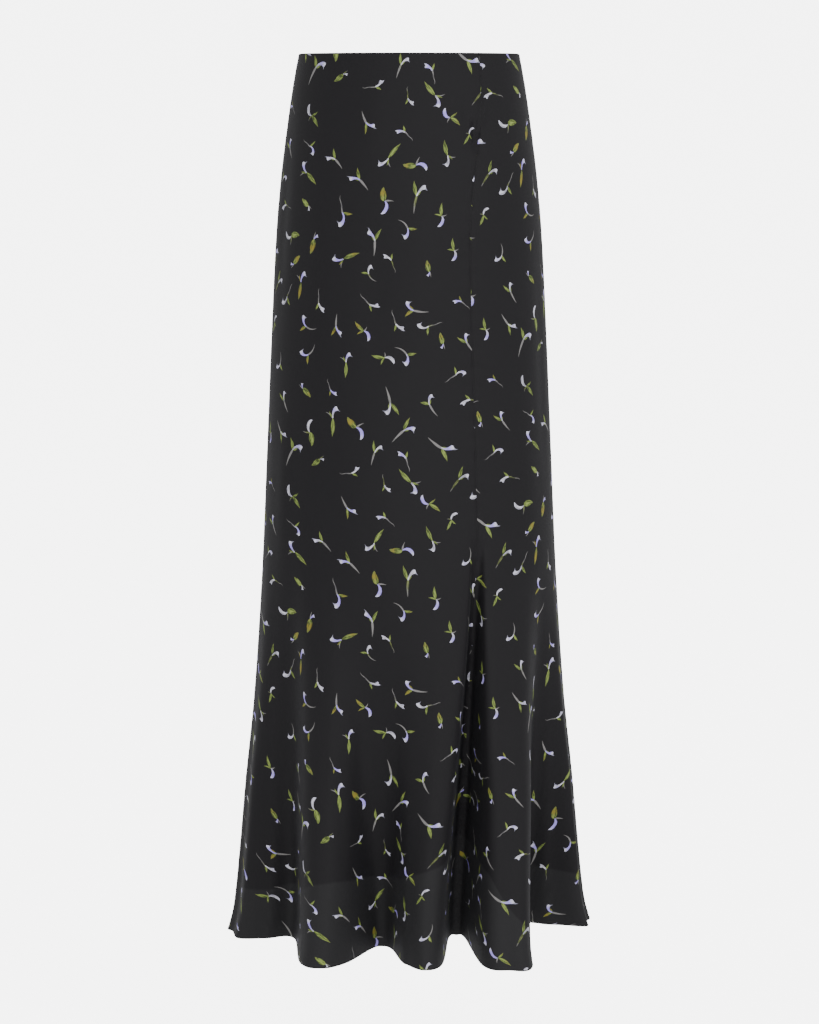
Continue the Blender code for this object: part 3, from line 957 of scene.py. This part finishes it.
front_panel, front_pattern = printed_panel(
    "front_panel_silk", "front_panel", side_seam_right, front_seam,
    (SIDE_SEAM_SINK, FRONT_SEAM_SINK), 0.012, 0.0,
)


# Front side panel.
# The narrow front piece on the wearer's left, cut from the same printed silk. Its print doesn't
# match across the seam. It falls in one deep fold next to the seam, with a flat at the side.

front_side_panel, front_side_pattern = printed_panel(
    "front_side_panel_silk", "front_side_panel", front_seam, side_seam_left,
    (FRONT_SEAM_SINK, SIDE_SEAM_SINK), 0.071, -0.118,
)


# Back panel.
# One flared piece from side seam to side seam, in the same silk. It isn't in the photograph, so
# it is cut plainly like the front, and its spare width falls in five smaller folds.

back_panel, back_pattern = printed_panel(
    "back_panel_silk", "back_panel", side_seam_left, side_seam_right + 360,
    (SIDE_SEAM_SINK, SIDE_SEAM_SINK), -0.054, -0.205,
)


# Lining, front and back.
# Plain black lining cloth sewn in at the waist edge. It hangs just inside the silk and ends above
# the hem, so the silk is darker as far down as the lining goes; below it the silk's colour is
# painted paler, painted light shining through the sheer cloth.

LINING_LENGTH = 0.885
LINING_THICKNESS = 0.0006
LINING_STAND_OFF = 0.0010
LINING_GAP_AT_WAIST = 0.0003
LINING_GAP = 0.0045
LINING_FREE_FROM = 0.10
LINING_ROW_STEP = 3
LINING_COLUMN_STEP = 4


def level_inward(row):
    """For every girth of one row of the hung cloth, the level way that points into the hollow."""
    places = fold_keys()[:, 0]
    round_again = places % 360
    points = np.stack([np.interp(round_again, GIRTHS, hung[row][:, k]) for k in (0, 1)], axis=1)
    along = np.gradient(points, axis=0)
    inward = np.stack([-along[:, 1], along[:, 0]], axis=1)
    return through(places[1:-1], unit(inward)[1:-1], GIRTHS)


lining_rows = [r for r in range(0, len(DROPS), LINING_ROW_STEP) if DROPS[r] < LINING_LENGTH]
lining_rows.append(int(np.argmin(np.abs(DROPS - LINING_LENGTH))))
lining_hung = []
for row in lining_rows:
    free = float(smooth(DROPS[row] / LINING_FREE_FROM))
    gap = LINING_GAP_AT_WAIST + (LINING_GAP - LINING_GAP_AT_WAIST) * free
    level = level_inward(row) * (LINING_STAND_OFF + gap)
    lining_hung.append(hung[row] + np.column_stack([level, np.zeros(len(GIRTHS))]))
lining_hung = np.array(lining_hung)


LINING_FINISH = Finish(0.46, 0.45, 0.03, (0.9, 0.9, 1.0, 1.0), 0.35, 0.00006)
LINING_BLACK = (0.0095, 0.0095, 0.0110)


def plain_cloth(name, finish, colour, uv_map="cloth", **weave_values):
    """Cloth of one colour, varied only by its own weave."""
    material, tree, weave = cloth_material(name, finish, uv_map, **weave_values)
    shaded(tree, colour, weave)
    return material


# The lining is smoother than the silk, with less of a pebble
lining_black = plain_cloth("lining_black", LINING_FINISH, LINING_BLACK, Pebble=0.1)


def lining_piece(name, node, first, last):
    """A lining piece between two girths, as one closed thin cloth."""
    columns = [c for c in range(len(GIRTHS)) if first <= GIRTHS[c] <= last]
    columns = sorted({*columns[::LINING_COLUMN_STEP], columns[-1]})
    points = lining_hung[:, columns]
    mesh = bpy.data.meshes.new(name)
    wide = len(columns)
    starts = [r * wide + c for r in range(len(points) - 1) for c in range(wide - 1)]
    faces = [(a, a + wide, a + wide + 1, a + 1) for a in starts]
    mesh.from_pydata(points.reshape(-1, 3).tolist(), [], faces)
    mesh.polygons.foreach_set("use_smooth", [True] * len(faces))
    uv = mesh.uv_layers.new(name="cloth")
    middle = wide // 2
    steps = np.linalg.norm(np.diff(points, axis=1), axis=2)
    across = np.concatenate([np.zeros((len(points), 1)), np.cumsum(steps, axis=1)], axis=1)
    across -= across[:, middle : middle + 1]
    down = np.repeat(DROPS[lining_rows][:, None], wide, axis=1)
    flat = np.stack([across, down], axis=2).reshape(-1, 2)
    corners = np.zeros(len(mesh.loops), int)
    mesh.loops.foreach_get("vertex_index", corners)
    uv.data.foreach_set("uv", flat[corners].ravel())
    piece = add_object(name, mesh)
    piece.data.materials.append(lining_black)
    thick = piece.modifiers.new("cloth", "SOLIDIFY")
    thick.thickness = LINING_THICKNESS
    thick.offset = -1
    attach(piece, "root")
    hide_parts(node)
    area = float(np.sum((across[1:, -1] - across[1:, 0]) * np.diff(DROPS[lining_rows])))
    width = float((across[:, -1] - across[:, 0]).max())
    return piece, (width, LINING_LENGTH), area


lining_front, lining_front_flat, lining_front_area = lining_piece(
    "lining_front_cloth", "lining_front", 0.0, 180.0
)
lining_back, lining_back_flat, lining_back_area = lining_piece(
    "lining_back_cloth", "lining_back", 180.0, 360.0
)


# Rolled edges of the silk.
# The hem and the waist edge are turned in a narrow roll of the same silk, slip-stitched by hand,
# so they show only as a fine dark line.

ROLL = 0.0007
ROLL_SIDES = 8
ROLLED_FINISH = Finish(0.60, 0.35, 0.0, (1.0, 1.0, 1.0, 1.0), 0.30, 0.0001)
ROLLED_BLACK = (0.0085, 0.0082, 0.0095)


def roll_tree():
    """Sweeps a small round section along a curve."""
    tree, given, result = new_tree(
        "rolled_edge", "GeometryNodeTree",
        [
            ("Geometry", "NodeSocketGeometry", None),
            ("Roll radius", "NodeSocketFloat", ROLL),
            ("Sides", "NodeSocketInt", ROLL_SIDES),
            ("Cloth", "NodeSocketMaterial", None),
        ],
        [("Geometry", "NodeSocketGeometry")],
    )
    ring = placed(
        tree, "GeometryNodeCurvePrimitiveCircle",
        {"Resolution": given["Sides"], "Radius": given["Roll radius"]},
    )
    sweep = placed(
        tree, "GeometryNodeCurveToMesh",
        {"Curve": given["Geometry"], "Profile Curve": ring["Curve"]},
    )
    real = placed(tree, "GeometryNodeRealizeInstances", {"Geometry": sweep["Mesh"]})
    dressed = placed(
        tree, "GeometryNodeSetMaterial",
        {"Geometry": real["Geometry"], "Material": given["Cloth"]},
    )
    tree.links.new(dressed["Geometry"], result["Geometry"])
    return tree


def edge_path(name, points):
    """A closed poly curve through points, for the node tree to work along."""
    curve = bpy.data.curves.new(name, "CURVE")
    curve.dimensions = "3D"
    spline = curve.splines.new("POLY")
    spline.points.add(len(points) - 1)
    spline.points.foreach_set("co", np.column_stack([points, np.ones(len(points))]).ravel())
    spline.use_cyclic_u = True
    return add_object(name, curve)


rolled_silk = plain_cloth(
    "silk_rolled_edge", ROLLED_FINISH, ROLLED_BLACK, uv_map=None, Unevenness=0.25
)
rolled_edge = roll_tree()
full_turn = (GIRTHS >= 0) & (GIRTHS < 359.9)


def rolled_trim(name, row, inset, rise):
    """A roll of the silk round one edge of the skirt, set in from the outer face and raised. The
    node tree sweeps it, and it is kept as a plain mesh."""
    points = hung[row][full_turn] - hung_outward[row][full_turn] * inset
    points[:, 2] += rise
    path = edge_path(name + "_path", points)
    modifier = path.modifiers.new("roll", "NODES")
    modifier.node_group = rolled_edge
    given = {s.name: s.identifier for s in rolled_edge.interface.items_tree if s.in_out == "INPUT"}
    for label, value in {"Roll radius": ROLL, "Sides": ROLL_SIDES, "Cloth": rolled_silk}.items():
        modifier[given[label]] = value
    evaluated = path.evaluated_get(bpy.context.evaluated_depsgraph_get())
    mesh = bpy.data.meshes.new_from_object(evaluated)
    mesh.name = name
    mesh.polygons.foreach_set("use_smooth", [True] * len(mesh.polygons))
    bpy.data.objects.remove(path)
    piece = add_object(name, mesh)
    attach(piece, "root")
    return piece


hem_roll = rolled_trim("hem_roll", -1, ROLL * 0.6, ROLL * 0.5)
waist_roll = rolled_trim("waist_roll", 0, SILK_THICKNESS, -ROLL * 0.8)


# The flat area of each pattern piece. Each panel is one flared sheet, hung from the waist.

front_pattern.area()
front_side_pattern.area()
back_pattern.area()


# Floor, light and camera.
# A plain pale studio: a wide floor well below the hem, an even light all round, a soft light from
# the front, one from the right, a weaker one from the left, and one from above and behind.

FLOOR_DROP = 1.10
FLOOR_HALF = 120.0
SURROUND_LIGHT = 0.84
BACKDROP = 6.0
FLOOR_GLOW = BACKDROP - 0.7
WHITE = (1.0, 1.0, 1.0, 1.0)


def studio_floor():
    mesh = bpy.data.meshes.new("floor")
    corners = [(-1, -1), (1, -1), (1, 1), (-1, 1)]
    places = [(x * FLOOR_HALF, y * FLOOR_HALF, -FLOOR_DROP) for x, y in corners]
    mesh.from_pydata(places, [], [(0, 1, 2, 3)])
    material = bpy.data.materials.new("floor_pale")
    material.use_nodes = True
    tree = material.node_tree
    shader = tree.nodes["Principled BSDF"].inputs
    shader["Base Color"].default_value = (0.86, 0.86, 0.86, 1.0)
    shader["Roughness"].default_value = 0.9
    shader["Emission Color"].default_value = WHITE
    seen = placed(tree, "ShaderNodeLightPath", {})["Is Camera Ray"]
    glow = placed(tree, "ShaderNodeMath", {0: seen, 1: FLOOR_GLOW}, operation="MULTIPLY")
    tree.links.new(glow[0], shader["Emission Strength"])
    mesh.materials.append(material)
    return add_object("floor", mesh)


# Each light's azimuth in degrees from the front, height, distance, size and power
AREA_LIGHTS = {
    "front": (4, 0.20, 3.8, 1.8, 52),
    "key_front_right": (50, 0.9, 3.4, 2.0, 38),
    "fill_front_left": (-54, 0.5, 3.6, 2.4, 13),
    "above_behind": (180, 2.9, 2.4, 1.6, 26),
}
LIGHTS_AIM = Vector((0.0, 0.0, -0.45))


def area_light(name, azimuth, height, distance, size, power):
    """A soft square light that faces the middle of the skirt."""
    data = bpy.data.lights.new(name, "AREA")
    data.shape = "SQUARE"
    data.size = size
    data.energy = power
    light = add_object(name, data)
    turn = radians(azimuth)
    light.location = (distance * sin(turn), -distance * cos(turn), height)
    aim = LIGHTS_AIM - light.location
    light.rotation_euler = aim.to_track_quat("-Z", "Y").to_euler()
    return light


lights = [area_light(name, *values) for name, values in AREA_LIGHTS.items()]

world = bpy.data.worlds.new("studio")
world.use_nodes = True
tree = world.node_tree
seen = placed(tree, "ShaderNodeLightPath", {})["Is Camera Ray"]
strength = placed(tree, "ShaderNodeMix", {"Factor": seen, "A": SURROUND_LIGHT, "B": BACKDROP})
background = tree.nodes["Background"].inputs
background["Color"].default_value = WHITE
tree.links.new(strength["Result"], background["Strength"])
bpy.context.scene.world = world

# The camera stands a little below the waist's level and looks down at the middle of the skirt
CAMERA_PLACE = (0.0005, -3.05, -0.0425)
CAMERA_LOOKS_DOWN = 8.485
CAMERA_LENS = 98.557

camera_data = bpy.data.cameras.new("camera")
camera_data.sensor_width = 36.0
camera_data.sensor_fit = "AUTO"
camera_data.lens = CAMERA_LENS
camera = add_object("camera", camera_data)
camera.location = CAMERA_PLACE
camera.rotation_euler = Euler((radians(90 - CAMERA_LOOKS_DOWN), 0.0, 0.0))
bpy.context.scene.camera = camera
studio_floor()
